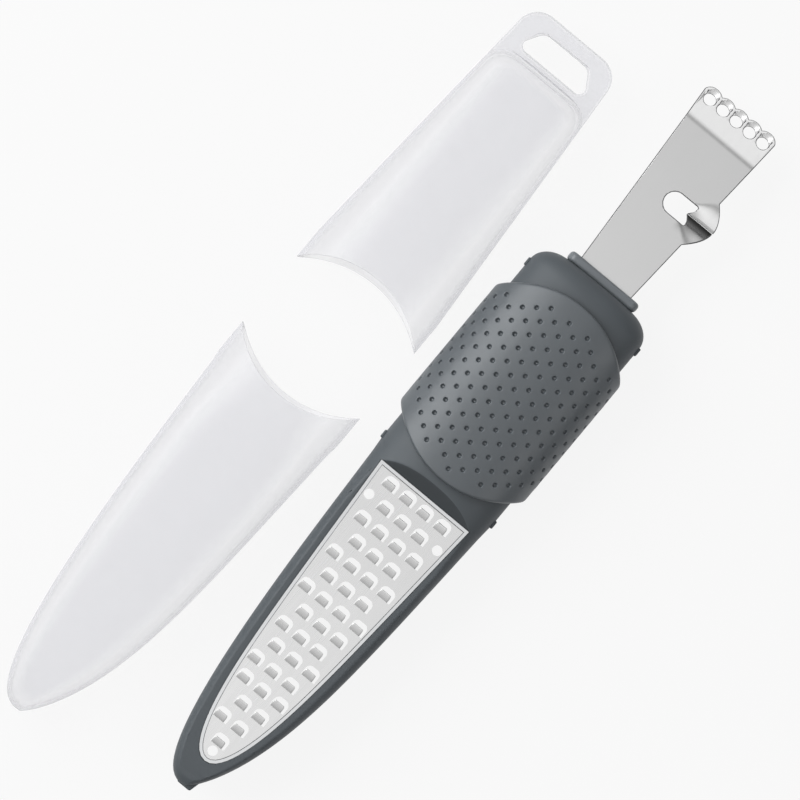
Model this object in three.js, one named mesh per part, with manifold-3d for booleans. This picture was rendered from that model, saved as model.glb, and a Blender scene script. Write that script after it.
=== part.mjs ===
// Two-ended citrus tool. A stamped grater sits in a moulded boat-shaped frame at one end, a five-hole zester
// with a channel knife stands out of the other, a soft grip sleeve wraps the middle, and two clear covers,
// taken off and laid beside the tool, slip over the ends up to the edges of the grip.
// Millimetres. +X runs along the tool to the zester, +Y to the covers, +Z out of the grater's face.
// The origin lies on the bench, under the middle of the grip.
import * as THREE from 'three';
import { mergeVertices } from 'three/addons/utils/BufferGeometryUtils.js';
import Module from 'manifold-3d';

const wasm = await Module();
wasm.setup();

// Clearance between pieces that are seated in one another
const FIT = 0.3;

// Handle body: one hull runs from the shoulder, through the grip, to the tip of the grater frame
const BODY_WIDTH = 40.4;
const BODY_THICK = 22;
const BODY_SQUARENESS = 2.3; // power of the rounded section, 2 is an ellipse
const SHOULDER_LENGTH = 8.1; // from the crown of the grip's edge to the end of the body
const SHOULDER_ROUND = 6.5; // length over which the end is rounded
const SHOULDER_NARROWING = 8.5; // what the rounding takes off at each side, at the very end
const SHOULDER_THINNING = 5; // and off the top and the underside
const THROAT_LENGTH = 6.4; // from the crown of the grip's edge to the grater plate

// Grip sleeve
const GRIP_LENGTH = 63.2; // between the crowns of its two curved edges
const GRIP_WALL = 2.8;
const GRIP_EDGE_RADIUS = 31; // curve of the edges, seen from the front
const REST_CUT = 0.5; // depth of the flat that it lies on

// Grater plate
const PLATE_LENGTH = 98;
const PLATE_WIDTH = 32.2;
const PLATE_THICK = 0.8;
const PLATE_TAPER = 0.39;
const PLATE_POWER = 6;
const PLATE_ROOT = 0.47;
const PLATE_STEP = 0.3; // the middle of the plate is pressed up by this much
const PLATE_FLANGE = 1.2; // width of the lower edge left all round
const LOCATOR_DIA = 3.05; // moulding locator holes
const LOCATOR_SIDE_SETBACK = 2.9;
const LOCATOR_TIP_SETBACK = 3.6;

// Grater teeth: an arched opening with a tongue that is lifted towards the handle
const TOOTH_WIDTH = 3.7;
const TOOTH_LENGTH = 2.6;
const TOOTH_THICK = 0.5;
const TOOTH_LIFT = 30 * Math.PI / 180;
const TOOTH_SHIFT = 0.3; // the tongue stands nearer to one side of its opening
const OPENING_WIDTH = 4.8;
const OPENING_LENGTH = 3.8;
const OPENING_CORNER = 1.7;
const FIRST_ROW = 3.6; // from the plate's top edge
const LAST_ROW = 7.4; // from the plate's tip
const TOOTH_MARGIN = 6.6; // from the middle of a full row's outer tooth to the plate's widest edge
const STAGGER = 1.2; // sideways step of the rows near the tip
const ROWS = [
  [4, 0], [3, 0], [4, 0], [3, 0], [4, 0], [3, 0], [4, 0], [3, -1],
  [3, 1], [3, -1], [3, 1], [3, 0], [2, -1], [2, 1], [1, 0],
]; // teeth in each row from the handle to the tip, and the way the row is stepped

// Grater frame
const RIM_WIDTH = 3.6;
const NOSE_LENGTH = 9.7; // from the plate's tip to the frame's
const FRAME_TAPER = 0.25;
const FRAME_POWER = 5;
const FRAME_ROOT = 0.8;
const FULL_SIDE_POWER = 3.4; // the nose is fuller on the covers' side
const FULL_SIDE_ROOT = 0.36;
const FRAME_SQUARENESS = 3.2;
const SQUARING_FROM = -0.06; // shares of the frame's length between which the section turns from the handle's
const SQUARING_TO = 0.16;
const TIP_THICK = 12;
const NOSE_POWER = 20; // how late the nose rounds off in thickness
const NOSE_ROOT = 0.3;
const PLATE_RISE = 7.5; // plate's top edge above the tool's middle plane
const PLATE_SLOPE = 1.5 * Math.PI / 180; // fall of the plate towards the tip
const SLOPE_RUN = 4.5; // length of the sloping face between the plate and the handle
const LEDGE_WIDTH = 1.6; // seat under the plate's edge
const LUG_WIDTH = 4.6;
const LUG_ROOT_WIDTH = 8.5;
const LUG_THICK = 5;
const LUG_LENGTH = 8; // most of it is sunk in the nose

// Snap nubs on the body's flanks, which hold the covers on
const NUB_LENGTH = 3;
const NUB_HEIGHT = 0.5;
const NUB_TALL = 5;
const NUB_SETBACK = 0.4; // beyond the crown of the grip's edge

// Zester blade
const BLADE_THICK = 1;
const BLADE_ROOT_WIDTH = 18.4;
const BLADE_HEAD_WIDTH = 26.2;
const SHANK_LENGTH = 49.9; // from the collar to the bend
const HEAD_LENGTH = 12.8; // from the bend to the cutting end
const HEAD_TILT = 20 * Math.PI / 180;
const BEND_RADIUS = 4;
const HEAD_CORNER = 3;
const HOLE_COUNT = 5;
const HOLE_MARGIN = 0.85; // from the head's side to the first hole's scallop
const HOLE_WALL = 1.1; // between two holes
const HOLE_SETBACK = 4; // hole centres from the cutting end
const EDGE_GRIND = 1.7; // how far each hole's outer wall is ground back, at the top face
const SCALLOP_DEPTH = 1;
const TANG_LENGTH = 27;

// Channel knife: a strip of the blade is slit across, one half is raised and the other pressed down
const KNIFE_REACH = 28.9; // from the collar to its cutting edge
const KNIFE_HALF_LENGTH = 7.9;
const KNIFE_BULGE = 4.4; // how far the strip swells past the blade's edge
const KNIFE_ROUND = 1.8; // power of the swell's outline
const KNIFE_RISE = 2.4;
const KNIFE_DIP = 1.5;
const KNIFE_SWEEP = 1.5; // power of the strip's curve up to the cutting edge
const SLOT_WIDTH = 6.7;
const SLOT_NEAR = 1.9; // the slot's round end, past the blade's middle line
const SLOT_FAR = 7.5; // and its two horns, on the knife's side
const SLOT_HORN = 1.5; // how far the strip's ends stand into the slot between the horns
const STRIP_BLEND = 3; // sideways width over which the strip leaves the blade's plane

// Collar that carries the blade
const COLLAR_WIDTH = 24.9;
const COLLAR_THICK = 8;
const COLLAR_LENGTH = 3;
const COLLAR_CORNER = 2.4;
const STEM_STEP = 1.2; // the stem is smaller than the collar by this much all round
const STEM_END_WALL = 3; // behind the blade's tang
const PIN_DIA = 3;
const PIN_SPACING = 12;

// Covers
const COVER_WALL = 1.3;
const TIP_GAP = 3; // free length inside the grater cover's tip
const HEAD_GAP = 1.6; // free length past the zester's cutting end
const HEAD_SIDE_GAP = 2.9; // beside the zester's head
const HEAD_FACE_GAP = 3; // under the zester's bent head
const CHAMBER_SQUARENESS = 3;
const CHAMBER_ROUND = 3; // edge of the chamber's end, seen from the side
const CHAMBER_CORNER = 6.5; // and its corners, seen from above
const TAB_LENGTH = 15;
const TAB_NARROWING = 1; // each side, from the chamber's end to the tab's corners
const TAB_THICK = 3.6;
const TAB_CORNER = 7;
const LOOP_LENGTH = 8;
const LOOP_WIDTH = 22.5;
const LOOP_TIP_WIDTH = 19;
const LOOP_CORNER = 2; // by the chamber
const LOOP_TIP_CORNER = 3.6; // by the tab's end
const LOOP_BAND = 4.7; // band left past the hanging hole

// Where the loose covers lie
const COVER_ASIDE = 5.2; // from the grip's side
const COVER_APART = 24; // between their mouths
const COVER_BACK = 10; // how far the grater cover lies past its place on the tool

// How finely curves are cut into flats
const RING = 32;
const TIP_STATIONS = 14;
const TIP_SHARE = 0.997; // where the last section stands, short of the hull's very tip
const ROUND_STEPS = 5;
const EDGE_STEPS = 20; // for the grip's long curved edges
const SMALL_STEPS = 2; // for the corners of small openings
const HOLE_SEGMENTS = 16;
const NUB_SEGMENTS = 10;
const NUB_RINGS = 6;
const BLADE_STRIPS = 12; // across the blade
const KNIFE_STEPS = 5;
const BEND_STEPS = 3;

// How cutting solids are made
const EXCESS = 30; // length that a cutting solid reaches past what it cuts
const MARGIN = 1; // width by which a trimming outline passes the piece that it trims
const WELD = 1e-4; // corners closer than this are one

// Stations along the axis, worked out from the sizes above
const gripEnd = GRIP_LENGTH / 2;
const shoulderEnd = gripEnd + SHOULDER_LENGTH;
const shoulderStart = shoulderEnd - SHOULDER_ROUND;
const plateTop = -gripEnd - THROAT_LENGTH;
const frameLength = PLATE_LENGTH + NOSE_LENGTH;
const frameTip = plateTop - frameLength;
const collarEnd = shoulderEnd + COLLAR_LENGTH;
const bendStart = collarEnd + SHANK_LENGTH;
const knifeEdge = collarEnd + KNIFE_REACH;
const nubX = gripEnd + NUB_SETBACK;
const frameHalfWidth = PLATE_WIDTH / 2 + RIM_WIDTH;
const bodyHalfThick = BODY_THICK / 2;
const gripHalfWidth = BODY_WIDTH / 2 + GRIP_WALL;
const coverHalfWidth = BODY_WIDTH / 2 + FIT + COVER_WALL;
const axisHeight = bodyHalfThick + GRIP_WALL - REST_CUT;
const stemLength = TANG_LENGTH + STEM_END_WALL;
const rowPitch = (PLATE_LENGTH - FIRST_ROW - LAST_ROW) / (ROWS.length - 1);
const toothPitch = (PLATE_WIDTH - 2 * TOOTH_MARGIN) / (ROWS[0][0] - 1);
const headHalf = BLADE_HEAD_WIDTH / 2;
const holePitch = (BLADE_HEAD_WIDTH - 2 * HOLE_MARGIN) / HOLE_COUNT;
const holeDia = holePitch - HOLE_WALL;

const plastic = new THREE.MeshStandardMaterial({ color: 0x4b4f55, roughness: 0.5, metalness: 0 });
const rubber = new THREE.MeshStandardMaterial({ color: 0x5d6167, roughness: 0.75, metalness: 0 });
const steel = new THREE.MeshStandardMaterial({ color: 0xc4c6c9, roughness: 0.3, metalness: 1 });
const frosted = new THREE.MeshStandardMaterial({
  color: 0xe8e9f0, roughness: 0.4, metalness: 0, transparent: true, opacity: 0.55,
});

// A closed geometry becomes a solid that can be joined and cut.
function solid(geometry) {
  const bare = geometry.clone();
  bare.deleteAttribute('normal');
  bare.deleteAttribute('uv');
  const merged = mergeVertices(bare, WELD);
  return new wasm.Manifold(new wasm.Mesh({
    numProp: 3,
    vertProperties: new Float32Array(merged.attributes.position.array),
    triVerts: new Uint32Array(merged.index.array),
  }));
}

function geometryOf(body) {
  const mesh = body.getMesh();
  const geometry = new THREE.BufferGeometry();
  geometry.setAttribute('position', new THREE.BufferAttribute(new Float32Array(mesh.vertProperties), 3));
  geometry.setIndex(new THREE.BufferAttribute(new Uint32Array(mesh.triVerts), 1));
  geometry.computeVertexNormals();
  return geometry;
}

function part(name, body, material) {
  const mesh = new THREE.Mesh(geometryOf(body), material);
  mesh.name = name;
  return mesh;
}

// Closed skin over a row of rings with equal point counts, ordered along +X.
function skin(rings) {
  const count = rings[0].length;
  const points = rings.flat();
  const faces = [];
  for (let i = 0; i + 1 < rings.length; i += 1) {
    for (let j = 0; j < count; j += 1) {
      const next = (j + 1) % count;
      const low = i * count;
      const high = low + count;
      faces.push(low + j, low + next, high + j, low + next, high + next, high + j);
    }
  }
  for (const [ring, flip] of [[0, true], [rings.length - 1, false]]) {
    const centre = points.length;
    const middle = new THREE.Vector3();
    rings[ring].forEach((point) => middle.addScaledVector(point, 1 / count));
    points.push(middle);
    for (let j = 0; j < count; j += 1) {
      const a = ring * count + j;
      const b = ring * count + (j + 1) % count;
      faces.push(centre, flip ? b : a, flip ? a : b);
    }
  }
  const geometry = new THREE.BufferGeometry().setFromPoints(points);
  geometry.setIndex(faces);
  return geometry;
}

// Rounded section across the axis: |y/a|^n + |z/b|^n = 1, with its own half width `full` on +Y if given.
function section({ x, a, b, n, full = a }) {
  const ring = [];
  for (let j = 0; j < RING; j += 1) {
    const angle = (2 * Math.PI * j) / RING;
    const c = Math.cos(angle);
    const s = Math.sin(angle);
    ring.push(new THREE.Vector3(
      x,
      (c > 0 ? full : -a) * Math.abs(c) ** (2 / n),
      b * Math.sign(s) * Math.abs(s) ** (2 / n),
    ));
  }
  return ring;
}

const loft = (stations) => solid(skin(stations.map(section)));

// Flat outline pulled up along Z between two heights.
function prism(shape, low, high, curveSegments = ROUND_STEPS) {
  const depth = high - low;
  return new THREE.ExtrudeGeometry(shape, { depth, bevelEnabled: false, curveSegments }).translate(0, 0, low);
}

// Outline in the X-Z plane pulled across the tool to the same width on both sides.
function crosswise(shape, width) {
  return prism(shape, -width / 2, width / 2).rotateX(Math.PI / 2);
}

function polygon(points) {
  return new THREE.Shape(points.map(([x, y]) => new THREE.Vector2(x, y)));
}

function upright(diameter, low, high, segments = HOLE_SEGMENTS) {
  const geometry = new THREE.CylinderGeometry(diameter / 2, diameter / 2, high - low, segments);
  return geometry.rotateX(Math.PI / 2).translate(0, 0, (low + high) / 2);
}

// Half width of a long leaf at u, the share of its length from the wide end: a straight taper to a round tip.
function leaf(u, { half, taper, power, root }) {
  return half * (1 - taper * u) * (1 - u ** power) ** root;
}

// Even shares from 0 to 1.
function evenly(count) {
  return Array.from({ length: count + 1 }, (_, k) => k / count);
}

// Shares of a leaf's length, closer together towards its tip.
function leafShares(count, last) {
  return evenly(count).map((share) => last * Math.sin((Math.PI / 2) * share));
}

const frameLeaf = { half: frameHalfWidth, taper: FRAME_TAPER, power: FRAME_POWER, root: FRAME_ROOT };
const fullSideLeaf = { ...frameLeaf, power: FULL_SIDE_POWER, root: FULL_SIDE_ROOT };
const plateLeaf = { half: PLATE_WIDTH / 2, taper: PLATE_TAPER, power: PLATE_POWER, root: PLATE_ROOT };

// Hull sections of the grater half, from the tip to the handle, grown by `grow` and made longer by `reach`.
function frameStations(grow, reach) {
  const length = frameLength + reach;
  const thinning = frameLength + THROAT_LENGTH;
  const stations = leafShares(TIP_STATIONS, TIP_SHARE).map((u) => {
    const x = plateTop - u * length;
    const down = Math.min((-gripEnd - x) / thinning, 1);
    const thick = THREE.MathUtils.lerp(bodyHalfThick, TIP_THICK / 2, down);
    const squaring = THREE.MathUtils.smoothstep(u, SQUARING_FROM, SQUARING_TO);
    return {
      x,
      a: leaf(u, { ...frameLeaf, half: frameHalfWidth + grow }),
      full: leaf(u, { ...fullSideLeaf, half: frameHalfWidth + grow }),
      b: (thick + grow) * (1 - u ** NOSE_POWER) ** NOSE_ROOT,
      n: THREE.MathUtils.lerp(BODY_SQUARENESS, FRAME_SQUARENESS, squaring),
    };
  });
  return stations.reverse();
}

const bodyStation = (x, grow) => ({
  x, a: BODY_WIDTH / 2 + grow, b: bodyHalfThick + grow, n: BODY_SQUARENESS,
});

// The body's rounded end at the zester.
function shoulderStations() {
  return evenly(ROUND_STEPS).map((share) => {
    const angle = (Math.PI / 2) * share;
    const drawn = 1 - Math.cos(angle);
    return {
      x: shoulderStart + SHOULDER_ROUND * Math.sin(angle),
      a: BODY_WIDTH / 2 - SHOULDER_NARROWING * drawn,
      b: bodyHalfThick - SHOULDER_THINNING * drawn,
      n: BODY_SQUARENESS,
    };
  });
}

// Plan outline of the plate in its own plane: its top edge on x = 0 and its tip at -X, grown by `grow`.
function plateShape(grow) {
  const shares = leafShares(TIP_STATIONS, 1);
  const wide = { ...plateLeaf, half: plateLeaf.half + grow };
  const side = shares.map((u) => [grow - u * (PLATE_LENGTH + 2 * grow), leaf(u, wide)]);
  const other = side.slice(0, -1).reverse().map(([x, y]) => [x, -y]);
  return polygon([...side, ...other]);
}

// From the plate's plane to the tool's: the plate falls slightly towards the tip.
const platePlane = new THREE.Matrix4()
  .makeRotationY(-PLATE_SLOPE)
  .setPosition(plateTop, 0, PLATE_RISE);

// Everything in front of the plate's plane is cleared away, up to the sloping face of the handle.
function graterClearance() {
  const rise = bodyHalfThick - PLATE_RISE;
  const far = -frameLength - EXCESS;
  const profile = polygon([[0, 0], [SLOPE_RUN * EXCESS / rise, EXCESS], [far, EXCESS], [far, 0]]);
  return crosswise(profile, BODY_WIDTH + 2 * EXCESS);
}

function nubs(side, grow) {
  return [-1, 1].map((flank) => new THREE.SphereGeometry(1, NUB_SEGMENTS, NUB_RINGS)
    .rotateX(Math.PI / 2)
    .scale(NUB_LENGTH / 2 + grow, NUB_HEIGHT + grow, NUB_TALL / 2 + grow)
    .translate(side * nubX, flank * BODY_WIDTH / 2, 0));
}

function stemBox(grow) {
  const width = COLLAR_WIDTH - 2 * STEM_STEP + 2 * grow;
  const thick = COLLAR_THICK - 2 * STEM_STEP + 2 * grow;
  const length = stemLength + grow + EXCESS;
  return new THREE.BoxGeometry(length, width, thick).translate(shoulderEnd + EXCESS - length / 2, 0, 0);
}

function handleBody() {
  const inPlane = (geometry) => solid(geometry.applyMatrix4(platePlane));
  const lug = prism(polygon([
    [frameTip, -LUG_WIDTH / 2], [frameTip + LUG_LENGTH, -LUG_ROOT_WIDTH / 2],
    [frameTip + LUG_LENGTH, LUG_ROOT_WIDTH / 2], [frameTip, LUG_WIDTH / 2],
  ]), -LUG_THICK / 2, LUG_THICK / 2);
  let body = loft([...frameStations(0, 0), bodyStation(-gripEnd, 0), ...shoulderStations()]);
  body = body.subtract(inPlane(graterClearance()));
  body = body.add(solid(lug));
  body = body.subtract(inPlane(prism(plateShape(FIT), -PLATE_THICK - FIT, EXCESS)));
  body = body.subtract(inPlane(prism(plateShape(-LEDGE_WIDTH), -EXCESS, EXCESS)));
  for (const side of [-1, 1]) {
    for (const nub of nubs(side, 0)) body = body.add(solid(nub));
  }
  return body.subtract(solid(stemBox(FIT)));
}

// Round-ended plan of the grip, or with `grow` of the space that it fills between the covers.
function gripShape(width, grow) {
  const radius = GRIP_EDGE_RADIUS + grow;
  const centre = gripEnd - GRIP_EDGE_RADIUS;
  const angle = Math.asin(width / 2 / radius);
  const shape = new THREE.Shape();
  shape.absarc(centre, 0, radius, -angle, angle, false);
  shape.absarc(-centre, 0, radius, Math.PI - angle, Math.PI + angle, false);
  shape.closePath();
  return shape;
}

function gripSleeve() {
  const outer = loft([bodyStation(-gripEnd, GRIP_WALL), bodyStation(gripEnd, GRIP_WALL)]);
  const bore = loft([bodyStation(-gripEnd - EXCESS, FIT), bodyStation(gripEnd + EXCESS, FIT)]);
  const plan = prism(gripShape(2 * (gripHalfWidth + MARGIN), 0), -axisHeight, EXCESS, EDGE_STEPS);
  return outer.intersect(solid(plan)).subtract(bore);
}

// One arched opening, cut through the plate, whose straight side faces the tip.
function openingShape() {
  const half = OPENING_WIDTH / 2;
  const x = OPENING_LENGTH - OPENING_CORNER;
  const y = half - OPENING_CORNER;
  const shape = new THREE.Shape();
  shape.moveTo(0, half);
  shape.lineTo(0, -half);
  shape.absarc(x, -y, OPENING_CORNER, -Math.PI / 2, 0, false);
  shape.absarc(x, y, OPENING_CORNER, 0, Math.PI / 2, false);
  shape.closePath();
  return shape;
}

// The tongue is a slip of the plate, hinged on the opening's straight side, with its root sunk in the plate.
function tongue() {
  const root = PLATE_THICK / 3;
  return new THREE.BoxGeometry(TOOTH_LENGTH + root, TOOTH_WIDTH, TOOTH_THICK)
    .translate((TOOTH_LENGTH - root) / 2, 0, 0)
    .rotateY(-TOOTH_LIFT)
    .translate(0, TOOTH_SHIFT, -PLATE_THICK / 2);
}

function toothPlaces() {
  return ROWS.flatMap(([count, way], row) => Array.from({ length: count }, (_, k) => ({
    x: -FIRST_ROW - row * rowPitch - OPENING_LENGTH / 2,
    y: (k - (count - 1) / 2) * toothPitch + way * STAGGER,
  })));
}

function graterPlate() {
  let plate = solid(prism(plateShape(0), -PLATE_THICK, -PLATE_STEP));
  plate = plate.add(solid(prism(plateShape(-PLATE_FLANGE), -PLATE_THICK, 0)));
  const secondRow = FIRST_ROW + rowPitch;
  const beside = leaf(secondRow / PLATE_LENGTH, plateLeaf) - LOCATOR_SIDE_SETBACK;
  const holes = [[-secondRow, beside], [-secondRow, -beside], [-PLATE_LENGTH + LOCATOR_TIP_SETBACK, 0]];
  for (const [x, y] of holes) {
    plate = plate.subtract(solid(upright(LOCATOR_DIA, -EXCESS, EXCESS).translate(x, y, 0)));
  }
  const opening = prism(openingShape(), -EXCESS, EXCESS, SMALL_STEPS);
  const blade = tongue();
  for (const { x, y } of toothPlaces()) {
    plate = plate.subtract(solid(opening.clone().translate(x, y, 0)));
    plate = plate.add(solid(blade.clone().translate(x, y, 0)));
  }
  return plate;
}

// Half width of the zester blade at x along the unbent strip.
function bladeHalf(x) {
  const share = THREE.MathUtils.clamp((x - collarEnd) / (SHANK_LENGTH + HEAD_LENGTH), 0, 1);
  return THREE.MathUtils.lerp(BLADE_ROOT_WIDTH, BLADE_HEAD_WIDTH, share) / 2;
}

// How far the slit strip has left the blade's plane, and swollen past its edge, at x.
function knifeSwell(x) {
  const away = Math.min(Math.abs(x - knifeEdge) / KNIFE_HALF_LENGTH, 1);
  return { lift: (1 - away) ** KNIFE_SWEEP, bulge: 1 - away ** KNIFE_ROUND };
}

// Middle line of the bent strip: place, and the way its face looks.
function bladeLine(x) {
  const angle = THREE.MathUtils.clamp((x - bendStart) / BEND_RADIUS, 0, HEAD_TILT);
  const bent = bendStart + BEND_RADIUS * angle;
  const past = Math.max(x - bent, 0);
  const before = Math.min(x, bendStart);
  return {
    x: before + BEND_RADIUS * Math.sin(angle) + past * Math.cos(angle),
    z: -BEND_RADIUS * (1 - Math.cos(angle)) - past * Math.sin(angle),
    angle,
  };
}

// One stretch of the blade as a closed sheet, with the strip's lift at its knife end.
function bladeSheet(stations, lift) {
  const rings = stations.map((x) => {
    const line = bladeLine(x);
    const swell = knifeSwell(x);
    const left = bladeHalf(x);
    const right = -left - KNIFE_BULGE * swell.bulge;
    const edge = (k, face) => {
      const y = THREE.MathUtils.lerp(right, left, k / BLADE_STRIPS);
      const share = THREE.MathUtils.smoothstep(-y, SLOT_FAR - STRIP_BLEND, SLOT_FAR);
      const z = lift * swell.lift * share + face * BLADE_THICK / 2;
      return new THREE.Vector3(line.x + z * Math.sin(line.angle), y, line.z + z * Math.cos(line.angle));
    };
    const steps = Array.from({ length: BLADE_STRIPS + 1 }, (_, k) => k);
    return [...steps.map((k) => edge(k, -1)), ...steps.reverse().map((k) => edge(k, 1))];
  });
  return solid(skin(rings));
}

// Slot beside the channel knife, open to the slit.
function slotShape() {
  const radius = SLOT_WIDTH / 2;
  const shape = new THREE.Shape();
  shape.absarc(knifeEdge, SLOT_NEAR - radius, radius, 0, Math.PI, false);
  shape.lineTo(knifeEdge - radius, -SLOT_FAR);
  shape.lineTo(knifeEdge, SLOT_HORN - SLOT_FAR);
  shape.lineTo(knifeEdge + radius, -SLOT_FAR);
  shape.closePath();
  return shape;
}

// What is cut off past the scalloped end and the round corners of the head, in the head's own plane
// with its end on x = 0.
function scallopShape() {
  const radius = ((holePitch / 2) ** 2 + SCALLOP_DEPTH ** 2) / (2 * SCALLOP_DEPTH);
  const sweep = Math.asin(holePitch / 2 / radius);
  const last = HOLE_COUNT - 1;
  const shape = new THREE.Shape();
  shape.moveTo(EXCESS, -headHalf - EXCESS);
  shape.lineTo(EXCESS, headHalf + EXCESS);
  shape.lineTo(-HEAD_CORNER, headHalf + EXCESS);
  shape.absarc(-HEAD_CORNER, headHalf - HEAD_CORNER, HEAD_CORNER, Math.PI / 2, 0, true);
  for (let k = 0; k < HOLE_COUNT; k += 1) {
    const middle = (last / 2 - k) * holePitch;
    shape.absarc(-radius, middle, radius, k === 0 ? 0 : sweep, k === last ? 0 : -sweep, true);
  }
  shape.absarc(-HEAD_CORNER, HEAD_CORNER - headHalf, HEAD_CORNER, 0, -Math.PI / 2, true);
  shape.lineTo(-HEAD_CORNER, -headHalf - EXCESS);
  shape.closePath();
  return shape;
}

// Slanted cut that grinds a hole's outer wall to a cutting edge, from the hole's lower rim to the top face.
function edgeGrind() {
  const slant = new THREE.Matrix4().makeShear(0, 0, 0, 0, EDGE_GRIND / BLADE_THICK, 0);
  return upright(holeDia, 0, 2 * BLADE_THICK).applyMatrix4(slant).translate(0, 0, -BLADE_THICK / 2);
}

const pinPlaces = [0, 1].map((k) => collarEnd - COLLAR_LENGTH - TANG_LENGTH / 2 + (k - 0.5) * PIN_SPACING);

function zesterBlade() {
  const tangEnd = collarEnd - COLLAR_LENGTH - TANG_LENGTH;
  const ramp = evenly(KNIFE_STEPS).map((share) => share * KNIFE_HALF_LENGTH);
  const low = [tangEnd, collarEnd, ...ramp.map((reach) => knifeEdge - reach).reverse()];
  const bend = evenly(BEND_STEPS).map((share) => bendStart + BEND_RADIUS * HEAD_TILT * share);
  const cutEnd = bendStart + HEAD_LENGTH;
  const high = [...ramp.map((reach) => knifeEdge + reach), ...bend, cutEnd];
  let blade = bladeSheet(low, -KNIFE_DIP).add(bladeSheet(high, KNIFE_RISE));
  blade = blade.subtract(solid(prism(slotShape(), -EXCESS, EXCESS)));

  const end = bladeLine(cutEnd);
  const headPlane = new THREE.Matrix4().makeRotationY(end.angle).setPosition(end.x, 0, end.z);
  const cut = (geometry) => {
    blade = blade.subtract(solid(geometry.applyMatrix4(headPlane)));
  };
  cut(prism(scallopShape(), -HEAD_LENGTH / 2, HEAD_LENGTH / 2, SMALL_STEPS));
  for (let k = 0; k < HOLE_COUNT; k += 1) {
    const y = (k - (HOLE_COUNT - 1) / 2) * holePitch;
    cut(upright(holeDia, -HEAD_LENGTH / 2, HEAD_LENGTH / 2).translate(-HOLE_SETBACK, y, 0));
    cut(edgeGrind().translate(-HOLE_SETBACK, y, 0));
  }
  for (const x of pinPlaces) {
    blade = blade.subtract(solid(upright(PIN_DIA + 2 * FIT, -EXCESS, EXCESS).translate(x, 0, 0)));
  }
  return blade;
}

function roundedRectangle(width, height, corner) {
  const shape = new THREE.Shape();
  const x = width / 2 - corner;
  const y = height / 2 - corner;
  shape.absarc(x, y, corner, 0, Math.PI / 2, false);
  shape.absarc(-x, y, corner, Math.PI / 2, Math.PI, false);
  shape.absarc(-x, -y, corner, Math.PI, 1.5 * Math.PI, false);
  shape.absarc(x, -y, corner, 1.5 * Math.PI, 2 * Math.PI, false);
  shape.closePath();
  return shape;
}

// Collar with the stem that fills the socket in the handle, slit for the blade's tang.
function bladeCollar() {
  const face = shoulderEnd + FIT;
  const flange = prism(roundedRectangle(COLLAR_THICK, COLLAR_WIDTH, COLLAR_CORNER), face, collarEnd)
    .rotateY(Math.PI / 2);
  const width = COLLAR_WIDTH - 2 * STEM_STEP;
  const thick = COLLAR_THICK - 2 * STEM_STEP;
  const length = stemLength + COLLAR_LENGTH / 2;
  const stem = new THREE.BoxGeometry(length, width, thick)
    .translate(shoulderEnd - stemLength + length / 2, 0, 0);
  const tang = TANG_LENGTH + COLLAR_LENGTH + FIT;
  const slit = new THREE.BoxGeometry(tang + EXCESS, BLADE_ROOT_WIDTH + 2 * FIT, BLADE_THICK + 2 * FIT)
    .translate(collarEnd - tang + (tang + EXCESS) / 2, 0, 0);
  let collar = solid(flange).add(solid(stem)).subtract(solid(slit));
  for (const x of pinPlaces) {
    collar = collar.subtract(solid(upright(PIN_DIA + 2 * FIT, -EXCESS, EXCESS).translate(x, 0, 0)));
  }
  return collar;
}

function tangPin(x) {
  const half = COLLAR_THICK / 2 - STEM_STEP;
  return solid(upright(PIN_DIA, -half, half).translate(x, 0, 0));
}

// The mouth of a cover follows the curved edge of the grip.
function coverMouth() {
  return solid(prism(gripShape(2 * (coverHalfWidth + MARGIN), FIT), -EXCESS, EXCESS, EDGE_STEPS));
}

function graterCover() {
  const hull = (grow, reach, end) => loft([
    ...frameStations(grow, reach), bodyStation(-gripEnd, grow), bodyStation(end, grow),
  ]);
  let cover = hull(FIT + COVER_WALL, TIP_GAP + COVER_WALL, 0);
  cover = cover.subtract(hull(FIT, TIP_GAP, MARGIN));
  cover = cover.subtract(coverMouth());
  for (const nub of nubs(-1, FIT)) cover = cover.subtract(solid(nub));
  return cover;
}

const headEnd = bladeLine(bendStart + HEAD_LENGTH);
const chamberEnd = headEnd.x + HEAD_GAP + COVER_WALL;
const chamberHalfWidth = headHalf + HEAD_SIDE_GAP + COVER_WALL;
const chamberHalfThick = BLADE_THICK / 2 - headEnd.z + HEAD_FACE_GAP + COVER_WALL;

// Sections of the zester cover's chamber, set in from its outside by `inset`.
function chamberStations(inset) {
  const grow = FIT + COVER_WALL - inset;
  const last = chamberEnd - inset;
  const closing = evenly(ROUND_STEPS).map((share) => {
    const angle = (Math.PI / 2) * share;
    const drawn = 1 - Math.cos(angle);
    return {
      x: last - CHAMBER_CORNER * (1 - Math.sin(angle)),
      a: chamberHalfWidth - inset - CHAMBER_CORNER * drawn,
      b: chamberHalfThick - inset - CHAMBER_ROUND * drawn,
      n: CHAMBER_SQUARENESS,
    };
  });
  return [bodyStation(-inset, grow), bodyStation(shoulderStart, grow), ...closing];
}

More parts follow.
